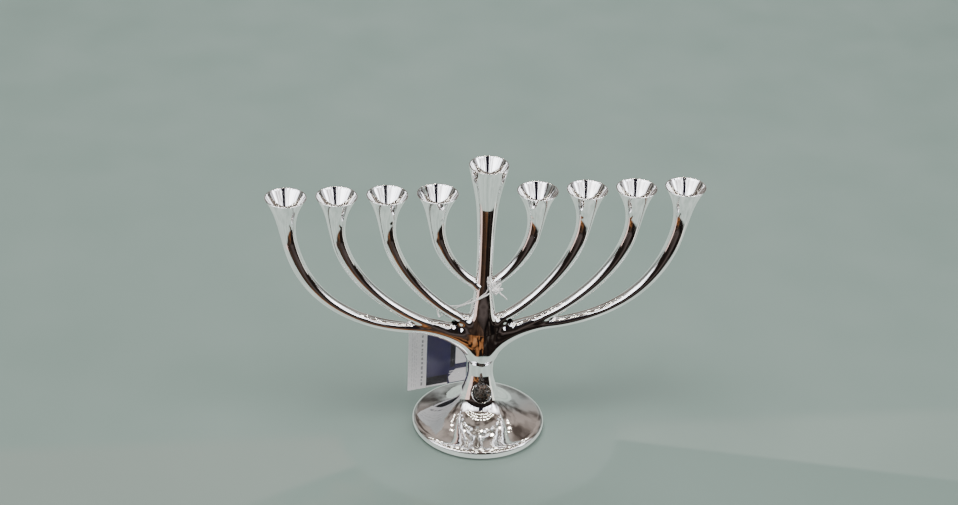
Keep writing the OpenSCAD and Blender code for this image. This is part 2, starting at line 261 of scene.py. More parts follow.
def turned_rings(outline, sides, centre=(0, 0)):
    """Rings of a turned outline of (radius, z) about a vertical axis."""
    c, s = circle(sides)
    return np.array([
        np.stack([centre[0] + r * c, centre[1] + r * s, np.full(sides, z)], -1) for r, z in outline
    ])


def swept_rings(p, ts, radii, sides):
    """Rings square to a curve in the XZ plane."""
    c, s = circle(sides)
    rings = []
    for (x, z), (dx, dz), r in zip(bez(p, ts), bez_dir(p, ts), radii):
        rings.append(np.stack([x + r * c * dz, r * s, z - r * c * dx], -1))
    return np.array(rings)


def mirrored(rings, side):
    """The rings as they are on the right, or mirrored to the left."""
    rings = np.array(rings, float)
    if side < 0:
        rings[..., 0] *= -1
        rings = rings[:, ::-1]
    return rings


def finish_piece(piece, material, body, slot, *nodes):
    """Gives a piece its material and body, and hides the CAD nodes that it stands for."""
    piece.data.materials.clear()
    piece.data.materials.append(material)
    if nodes:
        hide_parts(*nodes)
    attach(piece, body)
    return piece


# --- materials ------------------------------------------------------------------
class Nodes:
    """A material and short ways to add nodes to it."""

    def __init__(self, name):
        self.material = bpy.data.materials.new(name)
        self.material.use_nodes = True
        self.nodes = self.material.node_tree.nodes
        self.coords = self.node("TexCoord").outputs["Object"]

    def node(self, kind, **values):
        n = self.nodes.new("ShaderNode" + kind)
        for key, value in values.items():
            if key in n.bl_rna.properties:
                setattr(n, key, value)
            else:
                n.inputs[key.replace("_", " ")].default_value = value
        return n

    def link(self, a, b):
        self.material.node_tree.links.new(a, b)

    def noise(self, scale, detail=3, roughness=0.5, stretch=None):
        n = self.node("TexNoise", Scale=scale, Detail=detail, Roughness=roughness)
        place = self.coords
        if stretch:
            m = self.node("Mapping", Scale=stretch)
            self.link(place, m.inputs["Vector"])
            place = m.outputs["Vector"]
        self.link(place, n.inputs["Vector"])
        return n.outputs["Fac"]

    def ramp(self, fac, stops):
        """A colour ramp: stops are (place, colour or grey)."""
        n = self.node("ValToRGB")
        elements = n.color_ramp.elements
        for i, (place, colour) in enumerate(stops):
            e = elements[i] if i < 2 else elements.new(place)
            e.position = place
            e.color = (colour,) * 3 + (1,) if isinstance(colour, (int, float)) else (*colour, 1)
        self.link(fac, n.inputs["Fac"])
        return n.outputs["Color"]


class Shader(Nodes):
    """A Principled material."""

    def __init__(self, name, **inputs):
        super().__init__(name)
        self.bsdf = self.nodes["Principled BSDF"]
        for key, value in inputs.items():
            self.bsdf.inputs[key.replace("_", " ")].default_value = value

    def paint(self, pattern, stops, name="Base Color"):
        """Spreads stops over a pattern and sends them to one of the material's inputs."""
        self.link(self.ramp(pattern, stops), self.bsdf.inputs[name])

    def bump(self, height, strength, distance):
        n = self.node("Bump", Strength=strength, Distance=distance)
        self.link(height, n.inputs["Height"])
        if self.bsdf.inputs["Normal"].is_linked:
            self.link(self.bsdf.inputs["Normal"].links[0].from_socket, n.inputs["Normal"])
        self.link(n.outputs["Normal"], self.bsdf.inputs["Normal"])


def chrome_material():
    """Bright plate over a polished casting: faint waves, fine pits, hazy patches."""
    m = Shader("chrome_plate", Metallic=1.0, Roughness=0.05)
    m.paint(m.noise(35, 3), [(0.3, (0.80, 0.81, 0.82)), (0.7, (0.90, 0.90, 0.90))])
    m.paint(m.noise(60, 5, 0.6), [(0.35, 0.035), (0.62, 0.06), (0.85, 0.13)], "Roughness")
    m.bump(m.noise(110, 2), 0.10, 0.0006)
    m.bump(m.noise(2600, 2), 0.05, 0.00004)
    return m.material


def steel_material():
    m = Shader("zinc_steel", Metallic=1.0, Roughness=0.4)
    m.paint(m.noise(900, 4), [(0.3, (0.45, 0.46, 0.48)), (0.7, (0.62, 0.62, 0.62))])
    m.paint(m.noise(1500, 3), [(0.3, 0.3), (0.7, 0.5)], "Roughness")
    m.bump(m.noise(2200, 3), 0.3, 0.0001)
    return m.material


def felt_material():
    m = Shader("dark_felt", Roughness=0.95, Sheen_Weight=0.5, Sheen_Roughness=0.6)
    fibres = m.noise(1800, 6, 0.75)
    m.paint(fibres, [(0.3, (0.012, 0.014, 0.016)), (0.7, (0.05, 0.055, 0.06))])
    m.bump(fibres, 0.9, 0.0004)
    return m.material


def crystal_material():
    """Smoky stones: near black and very glossy. Their colour is brown-black cells of the crystal's own
    smoky tone, and the brightest brown cells are painted glints.
    """
    m = Shader("smoky_crystal", Roughness=0.03, IOR=1.42)
    shade = m.node("TexVoronoi", Scale=620)
    m.link(m.coords, shade.inputs["Vector"])
    # The dark stops are the stones' own smoky colour; the brightest brown stop is a painted glint of
    # light inside the stones.
    m.paint(shade.outputs["Color"], [
        (0.30, (0.004, 0.003, 0.002)), (0.62, (0.020, 0.012, 0.008)), (0.88, (0.11, 0.07, 0.05)),
    ])
    return m.material


def resin_material():
    m = Shader("dark_resin", Roughness=0.35)
    m.paint(m.noise(700, 3), [(0.3, (0.02, 0.015, 0.012)), (0.7, (0.06, 0.05, 0.04))])
    m.bump(m.noise(900, 3), 0.3, 0.0001)
    return m.material


def film_material():
    """Clear film with a few soft creases and a faint bloom."""
    m = Shader("clear_film", Roughness=0.06, IOR=1.4, Alpha=0.05)
    m.paint(m.noise(60, 4), [(0.35, (0.86, 0.89, 0.90)), (0.7, (0.97, 0.98, 1.0))])
    m.paint(m.noise(45, 4, 0.6, (1, 1, 3)), [(0.45, 0.01), (0.66, 0.04), (0.8, 0.18)], "Alpha")
    m.bump(m.noise(70, 3, 0.5, (1, 1, 2.2)), 0.35, 0.0008)
    return m.material


def card_material():
    """Coated card printed deep blue."""
    m = Shader("printed_card", Roughness=0.4, Coat_Weight=0.15, Coat_Roughness=0.2)
    m.paint(m.noise(400, 4), [(0.3, (0.009, 0.006, 0.062)), (0.7, (0.014, 0.010, 0.084))])
    m.bump(m.noise(1500, 3), 0.15, 0.00005)
    return m.material


def paper_material(name, dark, pale):
    m = Shader(name, Roughness=0.7)
    m.paint(m.noise(900, 5, 0.6), [(0.3, dark), (0.7, pale)])
    m.bump(m.noise(2400, 4), 0.3, 0.00006)
    return m.material


def thread_material():
    m = Shader("white_thread", Roughness=0.85, Sheen_Weight=0.4, Subsurface_Weight=0.15)
    m.bsdf.inputs["Subsurface Radius"].default_value = (0.0006, 0.0005, 0.0005)
    m.paint(m.noise(2500, 5, 0.7), [(0.3, (0.74, 0.70, 0.70)), (0.7, (0.95, 0.93, 0.93))])
    m.bump(m.noise(4000, 4, 0.7), 0.7, 0.0001)
    return m.material


CHROME = chrome_material()
STEEL = steel_material()
FELT = felt_material()
CRYSTAL = crystal_material()
RESIN = resin_material()
FILM = film_material()
CARD = card_material()
CARD_DARK = paper_material("card_black", (0.004, 0.004, 0.008), (0.012, 0.012, 0.02))
LABEL = paper_material("label_paper", (0.80, 0.76, 0.80), (0.92, 0.89, 0.92))
INK = paper_material("label_ink", (0.20, 0.19, 0.21), (0.42, 0.40, 0.43))
PALE = paper_material("card_white", (0.80, 0.77, 0.81), (0.92, 0.90, 0.93))
THREAD = thread_material()


# --- camera ---------------------------------------------------------------------
def make_camera():
    """The photograph's viewpoint: a little to the left and about 30 degrees above."""
    distance = 1219.3
    azimuth = math.radians(-8.57)
    elevation = math.radians(29.74)
    roll = math.radians(2.5)
    target = Vector((-3.6, 0, 116.4))
    back = Vector((
        math.sin(azimuth) * math.cos(elevation),
        -math.cos(azimuth) * math.cos(elevation),
        math.sin(elevation),
    ))
    right = (-back).cross(Vector((0, 0, 1))).normalized()
    up = right.cross(-back)
    rolled_right = math.cos(roll) * right + math.sin(roll) * up
    rolled_up = -math.sin(roll) * right + math.cos(roll) * up
    camera = bpy.data.cameras.new("camera")
    camera.sensor_width = 36
    camera.lens = 81.43
    camera.clip_start = 0.01
    camera.clip_end = 20
    holder = placed("camera", camera)
    turn = Matrix((rolled_right, rolled_up, back)).transposed().to_4x4()
    holder.matrix_world = Matrix.Translation((target + distance * back) * MM) @ turn
    bpy.context.scene.camera = holder


make_camera()


# --- thread ---------------------------------------------------------------------
# The route of the loop, as in the CAD
STRING_ROUTE = [
    (5.6, -6.0, 95.0), (3.4, -6.3, 93.6), (0.6, -6.4, 91.9), (-2.4, -6.1, 90.0),
    (-5.2, -5.0, 87.8), (-7.6, -3.2, 85.4), (-9.6, -0.6, 83.0), (-11.3, 2.4, 80.4),
    (-13.2, 5.4, 77.6), (-15.4, 8.4, 74.7), (-17.6, 11.6, 71.6), (-19.6, 14.6, 68.6),
    (-21.0, 16.9, 65.9), (-21.8, 18.4, 63.5), (-22.3, 20.7, 62.2), (-22.8, 23.0, 63.5),
    (-22.9, 23.5, 66.1), (-22.2, 22.3, 68.5), (-20.6, 19.7, 70.4), (-18.6, 16.6, 72.0),
    (-16.4, 13.4, 73.5), (-14.2, 10.4, 75.2), (-12.2, 7.8, 77.1), (-10.2, 6.3, 78.9),
    (-8.0, 6.1, 80.4), (-5.6, 6.6, 81.7), (-2.8, 7.6, 83.1), (0.4, 7.9, 84.6),
    (3.4, 7.0, 86.2), (5.8, 4.8, 87.9), (7.1, 1.6, 89.8), (7.1, -1.8, 91.8),
    (6.6, -4.4, 93.6), (5.9, -6.0, 95.2),
]
THREAD_D = 1.0


def through(points, per_span=8):
    """A smooth line through given points (Catmull-Rom)."""
    p = np.asarray(points, float)
    p = np.vstack([2 * p[0] - p[1], p, 2 * p[-1] - p[-2]])
    t = np.linspace(0, 1, per_span, endpoint=False)[:, None]
    spans = []
    for a, b, c, d in zip(p, p[1:], p[2:], p[3:]):
        spans.append(0.5 * (
            2 * b + (c - a) * t + (2 * a - 5 * b + 4 * c - d) * t**2 + (3 * b - a - 3 * c + d) * t**3
        ))
    return np.vstack(spans + [p[-2:-1]])


def carried_frames(line):
    """Directions along a line and two normals that never twist."""
    d = np.gradient(line, axis=0)
    d /= np.linalg.norm(d, axis=1)[:, None]
    u = np.zeros_like(d)
    side = np.array([0.0, 1.0, 0.3])
    for i, along in enumerate(d):
        side = side - (side @ along) * along
        side /= np.linalg.norm(side)
        u[i] = side
    return d, u, np.cross(d, u)


def strand(line, radius, sides, offset=0.0, pitch=2.2, phase=0.0, taper=0.0):
    """Points and faces of one ply: a tube that winds round a line."""
    _, u, v = carried_frames(line)
    along = np.concatenate([[0], np.cumsum(np.linalg.norm(np.diff(line, axis=0), axis=1))])
    turn = 2 * math.pi * along / pitch + phase
    middle = line + offset * (np.cos(turn)[:, None] * u + np.sin(turn)[:, None] * v)
    _, u, v = carried_frames(middle)
    thin = 1 - taper * (along / along[-1]) ** 3
    c, s = circle(sides)
    rings = middle[:, None] + radius * thin[:, None, None] * (
        c[None, :, None] * u[:, None] + s[None, :, None] * v[:, None]
    )
    return rings.reshape(-1, 3), capped_faces(len(line), sides)


def joined(parts):
    """Several (points, faces) as one."""
    points, faces = [], []
    for p, f in parts:
        shift = sum(len(x) for x in points)
        points.append(p)
        faces.extend(tuple(i + shift for i in face) for face in f)
    return np.vstack(points), faces


def twisted(line, diameter, **more):
    """Two plies wound round each other along a line."""
    ply = diameter * 0.32
    return [
        strand(line, ply, 10, offset=diameter / 2 - ply, phase=phase, **more)
        for phase in (0, math.pi)
    ]


def thread_loop():
    line = through(STRING_ROUTE, 9)
    piece = new_piece("thread_loop", *joined(twisted(line, THREAD_D)), sharp_deg=180)
    return finish_piece(piece, THREAD, "root", "thread", "string_loop"), line


KNOT = np.array([5.8, -6.6, 95.3])


def turned_upright(points, degrees, scale):
    """Points scaled, then turned in the XZ plane, about the knot's middle."""
    p = points * scale
    (c, s), x, z = heading(degrees), p[:, 0].copy(), p[:, 2].copy()
    return np.stack([c * x - s * z, p[:, 1], s * x + c * z], -1)


def bow():
    """A fat knot of several turns, its folded ears and its two loose ends."""
    parts = []
    wrap = [
        (-1.6, -0.2, -0.9), (-0.9, -1.0, 0.4), (0.4, -1.1, 0.9), (1.3, -0.2, 0.5), (0.9, 0.9, -0.5),
        (-0.5, 0.9, -0.9), (-1.2, 0.1, 0.2), (-0.2, -1.0, 0.2), (1.0, -0.8, -0.6), (1.3, 0.4, -0.9),
    ]
    ear = [
        (0.2, 0, 0.2), (-1.9, -0.5, 2.2), (-3.4, -0.7, 4.6), (-3.5, -0.6, 6.3), (-2.0, -0.5, 6.0),
        (-0.7, -0.3, 3.6), (0.1, 0, 0.6),
    ]
    turns = ((0, 1.2), (62, 1.45), (118, 1.25), (205, 1.5))
    folds = ((-4, 0.8), (14, 0.62), (-58, 0.66), (-108, 0.56), (150, 0.42))
    for route, copies in ((wrap, turns), (ear, folds)):
        for degrees, scale in copies:
            parts += twisted(KNOT + turned_upright(through(route), degrees, scale), 1.05)
    ends = [
        [(0.3, -0.2, -0.2), (1.9, -0.6, -1.0), (3.0, -0.9, -2.1), (3.9, -1.0, -3.6)],
        [(0.5, -0.4, -0.4), (2.4, -0.8, -1.7), (4.6, -1.0, -3.6), (6.9, -0.8, -6.3)],
    ]
    for route in ends:
        parts += twisted(KNOT + through(route), THREAD_D, taper=0.55)
    piece = new_piece("thread_bow", *joined(parts), sharp_deg=180)
    return finish_piece(piece, THREAD, "root", "thread", "string_knot")


loop, loop_line = thread_loop()
bow_piece = bow()


# --- foot, neck, stem and centre cup --------------------------------------------
def polished(name, rings, node):
    return finish_piece(loft(name, rings), CHROME, "root", "chrome", node)


def foot():
    """The domed foot with its rolled edge and hollow underside, as one closed skin."""
    outside = chain(FOOT_CURVES, 40)
    inside = chain(FOOT_INSIDE, 24)
    bore = 2.75
    outline = np.vstack([
        outside,
        [(6.0, NECK_Z), (6.0, NECK_Z - 3), (bore, NECK_Z - 3), (bore, 14)],
        inside[::-1],
        [(FOOT_R - 5, FELT_TOP), (FOOT_R - 4, FELT_TOP), (FOOT_R - 4, FOOT_BASE)],
        outside[:1],
    ])
    rings = turned_rings(outline, 192)
    piece = outward(new_piece("polished_foot", rings.reshape(-1, 3), ring_faces(len(rings), 192)))
    return finish_piece(piece, CHROME, "root", "chrome", "foot")


def solid_turned(name, curves, node):
    return polished(name, turned_rings(chain(curves, 40), 96), node)


def rim_outline(rim_r, rim_z, floor_z):
    """The cup from just under its rim: round lip, flared mouth, socket wall and floor."""
    mouth_r = rim_r - RIM_WALL
    lip = RIM_WALL / 2
    outline = []
    for a in np.linspace(10, 170, 9):
        x, z = heading(a)
        outline.append((rim_r - lip + lip * x, rim_z - lip + lip * z))
    foot_z = rim_z - MOUTH_H
    flare = [
        (mouth_r, rim_z - lip), (mouth_r - 1.6, rim_z - 3), (SOCKET_R + 1.1, foot_z + 2.6),
        (SOCKET_R, foot_z),
    ]
    outline += [tuple(p) for p in bez(flare, np.linspace(0.06, 1, 18))]
    return outline + [
        (SOCKET_R, foot_z - 0.3), (SOCKET_R, floor_z + 0.8), (SOCKET_R - 0.25, floor_z + 0.25),
        (SOCKET_R - 0.8, floor_z), (0.6, floor_z),
    ]


def shamash_cup():
    outside = chain(SHAMASH_CURVES, 30)[:-2]
    inside = rim_outline(SHAMASH_R, SHAMASH_Z, SHAMASH_Z - MOUTH_H - SOCKET_H)
    rings = turned_rings(np.vstack([outside, inside]), 96)
    return polished("polished_shamash_cup", rings, "shamash_cup")


# --- arms and side cups ---------------------------------------------------------
def arm(n, name, side):
    """A swept bar from the hub, or from a small fillet on the stem, up to its cup."""
    share = ARM_ROWS[n - 1][6]
    ts = np.linspace(share, 1, 90)
    radii = arm_r(ts)
    if n == 1:
        radii = radii + 1.5 * np.clip(1 - ts / 0.16, 0, 1) ** 2
    rings = swept_rings(arm_curve(n), ts, radii, 48)
    return polished(f"polished_arm_{name}_{n}", mirrored(rings, side), f"arm_{name}_{n}")


def cup(n, name, side):
    ts = np.linspace(0, 0.985, 44)
    outside = swept_rings(cup_curve(n), ts, cup_r(ts), 64)
    inside = turned_rings(rim_outline(RIM_R, RIM_Z, RIM_Z - MOUTH_H - SOCKET_H), 64, (PITCH * n, 0))
    rings = np.concatenate([outside, inside])
    return polished(f"polished_cup_{name}_{n}", mirrored(rings, side), f"cup_{name}_{n}")


# --- hub ------------------------------------------------------------------------
# How far the hub's own shape runs on under each arm before it is cut, how softly its bars
# merge, the size of its grid, and how far from an arm's middle the cut reaches
PAST_JOINT = 2.6
BLEND = 3.2
GRID = 0.75
CUT_REACH = 6.5


def to_curve(points, p, radius_at, t_low=0.0, t_high=1.0):
    """Distance from points to a round bar of changing radius along a curve in the XZ plane."""
    ts = np.linspace(t_low, t_high, 60)
    line = bez(p, ts)
    flat = points[:, [0, 2]]
    t = ts[((flat[:, None] - line[None]) ** 2).sum(-1).argmin(1)]
    p = np.asarray(p, float)
    for _ in range(4):
        away = bez(p, t) - flat
        s = (1 - t)[:, None]
        w = t[:, None]
        d1 = 3 * (s * s * (p[1] - p[0]) + 2 * s * w * (p[2] - p[1]) + w * w * (p[3] - p[2]))
        d2 = 6 * (s * (p[2] - 2 * p[1] + p[0]) + w * (p[3] - 2 * p[2] + p[1]))
        slope = (d1 * d1).sum(1) + (away * d2).sum(1)
        t = np.clip(t - (away * d1).sum(1) / np.maximum(slope, 1e-3), t_low, t_high)
    away = bez(p, t) - flat
    return np.sqrt((away**2).sum(1) + points[:, 1] ** 2) - radius_at(t)


def merged(a, b, reach=BLEND):
    """Smooth union of two distances."""
    h = np.maximum(reach - np.abs(a - b), 0) / reach
    return np.minimum(a, b) - h**3 * reach / 6


def arm_share_past(n):
    """The curve parameter a little beyond where arm n leaves the hub."""
    share = ARM_ROWS[n - 1][6]
    ts = np.linspace(share, share + 0.3, 200)
    line = bez(arm_curve(n), ts)
    run = np.concatenate([[0], np.cumsum(np.linalg.norm(np.diff(line, axis=0), axis=1))])
    return float(np.interp(PAST_JOINT, run, ts))


def root_distance(points, n):
    thick = ROOT_ROWS[n][5] - ARM_R_ROOT
    inner = to_curve(points, root_curve(n), lambda t: ARM_R_ROOT + thick * (1 - t) ** 1.2)
    outer = to_curve(points, arm_curve(n), arm_r, 0, arm_share_past(n))
    return np.minimum(inner, outer)


HUB_PROFILE = chain(HUB_CURVES, 400)
# Webs that fill the forks: (x, z, radius) at each end
WEB_ROWS = [((3, 57, 6), (15, 68, 3.5)), ((4, 71, 3.8), (12, 72.2, 3.3))]
# Right half of the fan that runs across the front and back of the hub: (x, z)
FAN = [(0, 45), (11.5, 57.5), (17, 62.5), (21, 65.5), (12.5, 67.3), (8.5, 72.3), (4.6, 76.3), (0, 79)]
# Half its thickness at the middle, below the height FAN_KEEL. Above that it follows the core
FAN_LEAST = 8.3
FAN_KEEL = 57
# How fast it thins towards its sides, and above the height FAN_TOP
FAN_SLOPE = 0.30
FAN_TOP = 66
FAN_TOP_SLOPE = 0.11


def core_distance(points):
    """The turned middle, carried on a little past its two ends."""
    rise = np.gradient(HUB_PROFILE[:, 0], HUB_PROFILE[:, 1])
    z = np.clip(points[:, 2], HUB_Z, STEM_Z)
    r = np.interp(z, HUB_PROFILE[:, 1], HUB_PROFILE[:, 0])
    r = r + np.where(points[:, 2] > STEM_Z, rise[-1], rise[0]) * (points[:, 2] - z)
    return np.hypot(points[:, 0], points[:, 1]) - r


def web_distance(points, ends):
    (x0, z0, r0), (x1, z1, r1) = ends
    a, way = np.array([x0, z0]), np.array([x1 - x0, z1 - z0])
    t = np.clip((points[:, [0, 2]] - a) @ way / (way @ way), 0, 1)
    away = points[:, [0, 2]] - a - t[:, None] * way
    return np.sqrt((away**2).sum(1) + points[:, 1] ** 2) - (r0 + (r1 - r0) * t)


def fan_distance(points):
    """A ridged plate between the roots: thick at the middle, thin at its corners."""
    side = np.stack([np.abs(points[:, 0]), points[:, 2]], -1)
    away = np.full(len(points), 1e9)
    inside = np.zeros(len(points), bool)
    for a, b in zip(FAN, FAN[1:] + FAN[:1]):
        a, way = np.array(a, float), np.subtract(b, a).astype(float)
        t = np.clip((side - a) @ way / (way @ way), 0, 1)
        if a[0] > 0 or way[0] > 0:
            away = np.minimum(away, np.linalg.norm(side - a - t[:, None] * way, axis=1))
        if way[1]:
            across = a[0] + (side[:, 1] - a[1]) * way[0] / way[1]
            crosses = (side[:, 1] >= min(a[1], b[1])) & (side[:, 1] < max(a[1], b[1]))
            inside ^= crosses & (side[:, 0] < across)
    edge = np.where(inside, -away, away)
    depth = np.interp(points[:, 2], HUB_PROFILE[:, 1], HUB_PROFILE[:, 0])
    depth = np.where(points[:, 2] < FAN_KEEL, FAN_LEAST, depth) - FAN_SLOPE * side[:, 0]
    depth -= FAN_TOP_SLOPE * np.maximum(points[:, 2] - FAN_TOP, 0)
    face = (np.abs(points[:, 1]) - depth) / math.hypot(1, FAN_SLOPE)
    return -merged(-edge, -face, 4)


def hub_distance(points):
    """Distance to the whole hub, which narrows to its bare core at the joint with the neck."""
    core = core_distance(points)
    d = core
    for way in (1, -1):
        there = points * (way, 1, 1)
        for n in (2, 3, 4):
            d = merged(d, root_distance(there, n))
        for ends in WEB_ROWS:
            d = merged(d, web_distance(there, ends))
    d = merged(d, fan_distance(points), 3.5)
    grown = np.clip((points[:, 2] - HUB_Z - 0.2) / 3.2, 0, 1)
    return d * grown + core * (1 - grown)


def gradient(points, step=0.02):
    g = np.zeros_like(points)
    for k in range(3):
        shift = np.zeros(3)
        shift[k] = step
        g[:, k] = (hub_distance(points + shift) - hub_distance(points - shift)) / (2 * step)
    return g


def on_surface(points, rounds=3):
    """Points moved onto the zero level, along the gradient."""
    for _ in range(rounds):
        g = gradient(points)
        d = hub_distance(points)
        points = points - (d / np.maximum((g * g).sum(1), 0.05))[:, None] * g
    return points


def surface_net(distance, lo, hi, step):
    """Quads round the zero level: one point for each grid cell that it crosses."""
    axes = [np.arange(a, b + step, step) for a, b in zip(lo, hi)]
    grid = np.stack(np.meshgrid(*axes, indexing="ij"), -1)
    values = distance(grid.reshape(-1, 3)).reshape(grid.shape[:3])
    inside = values < 0
    nx, ny, nz = inside.shape
    corners = sum(
        inside[i : nx - 1 + i, j : ny - 1 + j, k : nz - 1 + k].astype(int)
        for i in (0, 1) for j in (0, 1) for k in (0, 1)
    )
    crossed = (corners > 0) & (corners < 8)
    index = np.full(crossed.shape, -1)
    index[crossed] = np.arange(crossed.sum())
    points = grid[:-1, :-1, :-1][crossed] + step / 2
    faces = []
    for axis in range(3):
        a = np.moveaxis(inside, axis, 0)
        cells = np.moveaxis(index, axis, 0)
        change = a[:-1] != a[1:]
        i, j, k = np.nonzero(change[:, 1:-1, 1:-1])
        j, k = j + 1, k + 1
        corner = [cells[i, j - 1, k - 1], cells[i, j, k - 1], cells[i, j, k], cells[i, j - 1, k]]
        quad = np.stack(corner, 1)
        turned = ~(a[i, j, k] ^ (axis == 1))
        quad[turned] = quad[turned][:, ::-1]
        faces.append(quad)
    return points, np.vstack(faces)


def relaxed(points, faces, rounds=4):
    """Evens out the quads: each point moves to its neighbours' middle, then back to the surface."""
    edges = np.vstack([faces[:, [i, (i + 1) % 4]] for i in range(4)])
    for _ in range(rounds):
        total = np.zeros_like(points)
        count = np.zeros(len(points))
        np.add.at(total, edges[:, 0], points[edges[:, 1]])
        np.add.at(count, edges[:, 0], 1)
        points = on_surface(points * 0.4 + 0.6 * total / count[:, None], 1)
    return points


def hub():
    """The branching middle, its roots run together like a casting."""
    reach = arm_curve(4)[0][0] + 10
    lo = np.array([-reach, -11.0, HUB_Z - 2])
    hi = np.array([reach, 11.0, STEM_Z + 2])
    points, faces = surface_net(hub_distance, lo, hi, GRID)
    points = relaxed(on_surface(points), faces)
    mesh = bpy.data.meshes.new("polished_hub")
    mesh.from_pydata((points * MM).tolist(), [], faces.tolist())
    bm = bmesh.new()
    bm.from_mesh(mesh)
    cuts = [((0, 0, HUB_Z), (0, 0, -1), 0, 1), ((0, 0, STEM_Z), (0, 0, 1), 0, 1)]
    for side in (-1, 1):
        for n in (2, 3, 4):
            share = ARM_ROWS[n - 1][6]
            (x, z), (dx, dz) = bez(arm_curve(n), share), bez_dir(arm_curve(n), share)
            cuts.append(((side * x, 0, z), (side * dx, 0, dz), n, side))
    for place, way, n, side in cuts:
        centre, normal = Vector(place) * MM, Vector(way)
        near = list(bm.faces)
        if n:
            middles = np.array([f.calc_center_median() for f in near]) / MM
            close = np.linalg.norm(middles - place, axis=1) < CUT_REACH
            roots = {m: root_distance(middles * (side, 1, 1), m) for m in (2, 3, 4)}
            own = roots[n] <= np.min([roots[m] for m in roots if m != n], axis=0)
            near = [f for f, chosen in zip(near, close & own) if chosen]
        geom = set(near) | {e for f in near for e in f.edges} | {v for f in near for v in f.verts}
        cut = bmesh.ops.bisect_plane(
            bm, geom=list(geom), plane_co=centre, plane_no=normal, clear_outer=True, dist=1e-8
        )
        edges = [e for e in cut["geom_cut"] if isinstance(e, bmesh.types.BMEdge)]
        made = bmesh.ops.edgeloop_fill(bm, edges=edges)["faces"]
        for f in made:
            f.normal_update()
            if f.normal.dot(normal) < 0:
                f.normal_flip()
            f.smooth = False
    loose = [v for v in bm.verts if not v.link_faces]
    bmesh.ops.delete(bm, geom=loose, context="VERTS")
    bm.to_mesh(mesh)
    bm.free()
    shade_by_gradient(mesh)
    return finish_piece(placed("polished_hub", mesh), CHROME, "root", "chrome", "hub")


def shade_by_gradient(mesh):
    """Sets the hub's normals from its formula, so that its reflections run smooth."""
    points = np.array([v.co for v in mesh.vertices]) / MM
    g = gradient(points)
    g /= np.linalg.norm(g, axis=1)[:, None]
    normals = np.zeros((len(mesh.loops), 3))
    for face in mesh.polygons:
        flat = not face.use_smooth and len(face.vertices) > 8
        for loop_index in face.loop_indices:
            normals[loop_index] = face.normal if flat else g[mesh.loops[loop_index].vertex_index]
    mesh.shade_smooth()
    mesh.normals_split_custom_set(normals.tolist())


# --- felt -----------------------------------------------------------------------
def felt_pad():
    r, h = FELT_R, FELT_TOP
    outline = [(0.5, 0), (r - 0.8, 0), (r - 0.25, 0.15), (r, 0.6), (r, h - 0.3), (r - 0.4, h), (0.5, h)]
    rings = turned_rings(outline, 128)
    return finish_piece(loft("dark_felt_pad", rings), FELT, "root", "felt", "felt_pad")


# --- crystal boss ---------------------------------------------------------------
BOSS_R = 5.2
BOSS_AT = Vector((0, -12.9, 30.3))
BOSS_TILT = 42
# Behind the ball's centre: back of the bezel and its lip
BEZEL_L = 5.2
BEZEL_DROP = 2.5
# One row for each ring of stones: angle from the front, number of stones
STONE_RINGS = [(0, 1), (27, 6), (53, 11), (79, 14), (105, 13)]
STONE_R = 0.98
# From the ball's centre to the widest part of each stone
STONES_AT = 4.35
# Turns the boss's own frame, +Z outwards, into the menorah's
ON_BOSS = Matrix.Translation(BOSS_AT) @ Matrix.Rotation(math.radians(90 - BOSS_TILT), 4, "X")


def bezel():
    """The plated cup behind the stones, with a rolled lip."""
    lip_r = BOSS_R + 0.8
    foot_r = BOSS_R - 1.5
    bore_r = BOSS_R - 0.4
    roll = 0.3
    outline = [(0.4, -BEZEL_L), (foot_r - 0.2, -BEZEL_L)]
    wall = [
        (foot_r, -BEZEL_L + 0.15), (foot_r + 1.2, -BEZEL_L + 0.7), (lip_r, -3.9),
        (lip_r, -BEZEL_DROP - roll),
    ]
    outline += [tuple(p) for p in bez(wall, np.linspace(0, 1, 14))]
    for a in np.linspace(10, 170, 9):
        x, z = heading(a)
        outline.append((lip_r - roll + roll * x, -BEZEL_DROP - roll + roll * z))
    for a in np.linspace(-38, -85, 12):
        x, z = heading(a)
        outline.append((bore_r * x, bore_r * z))
    c, s = circle(96)
    rings = []
    for r, f in outline:
        rings.append([tuple(ON_BOSS @ Vector((r * x, r * y, f))) for x, y in zip(c, s)])
    return polished("boss_bezel_plated", rings, "boss_bezel")


def cut_stone(bm, place, sides=8):
    """A brilliant-like stone: table, two rings of crown facets, girdle and pavilion."""
    levels = [(0.55, 0.52, 0), (0.85, 0.36, 0.5), (1, 0.14, 0), (1, 0.0, 0), (0.30, -0.5, 0)]
    rings = []
    for share, height, half in levels:
        ring = []
        for k in range(sides):
            a = 2 * math.pi * (k + half) / sides
            ring.append(bm.verts.new(place @ Vector((
                STONE_R * share * math.cos(a), STONE_R * share * math.sin(a), height)) * MM))
        rings.append(ring)
    bm.faces.new(rings[0])
    bm.faces.new(rings[-1][::-1])
    for upper, lower, shifted in zip(rings, rings[1:], (1, -1, 0, 0)):
        for k in range(sides):
            nxt = (k + 1) % sides
            if shifted == 1:
                bm.faces.new((upper[k], lower[k], upper[nxt]))
                bm.faces.new((upper[nxt], lower[k], lower[nxt]))
            elif shifted == -1:
                bm.faces.new((upper[k], lower[k], lower[nxt]))
                bm.faces.new((upper[k], lower[nxt], upper[nxt]))
            else:
                bm.faces.new((upper[k], lower[k], lower[nxt], upper[nxt]))


def stones():
    """Rings of stones set over the front of the ball."""
    bm = bmesh.new()
    for angle, count in STONE_RINGS:
        for k in range(count):
            turn = Matrix.Rotation(2 * math.pi * k / count, 4, "Z")
            tip = Matrix.Rotation(math.radians(angle), 4, "Y")
            cut_stone(bm, ON_BOSS @ turn @ tip @ Matrix.Translation((0, 0, STONES_AT)))
    piece = placed("smoky_stones", finished_mesh("smoky_stones", bm))
    return finish_piece(piece, CRYSTAL, "root", "crystal", "boss_stones")


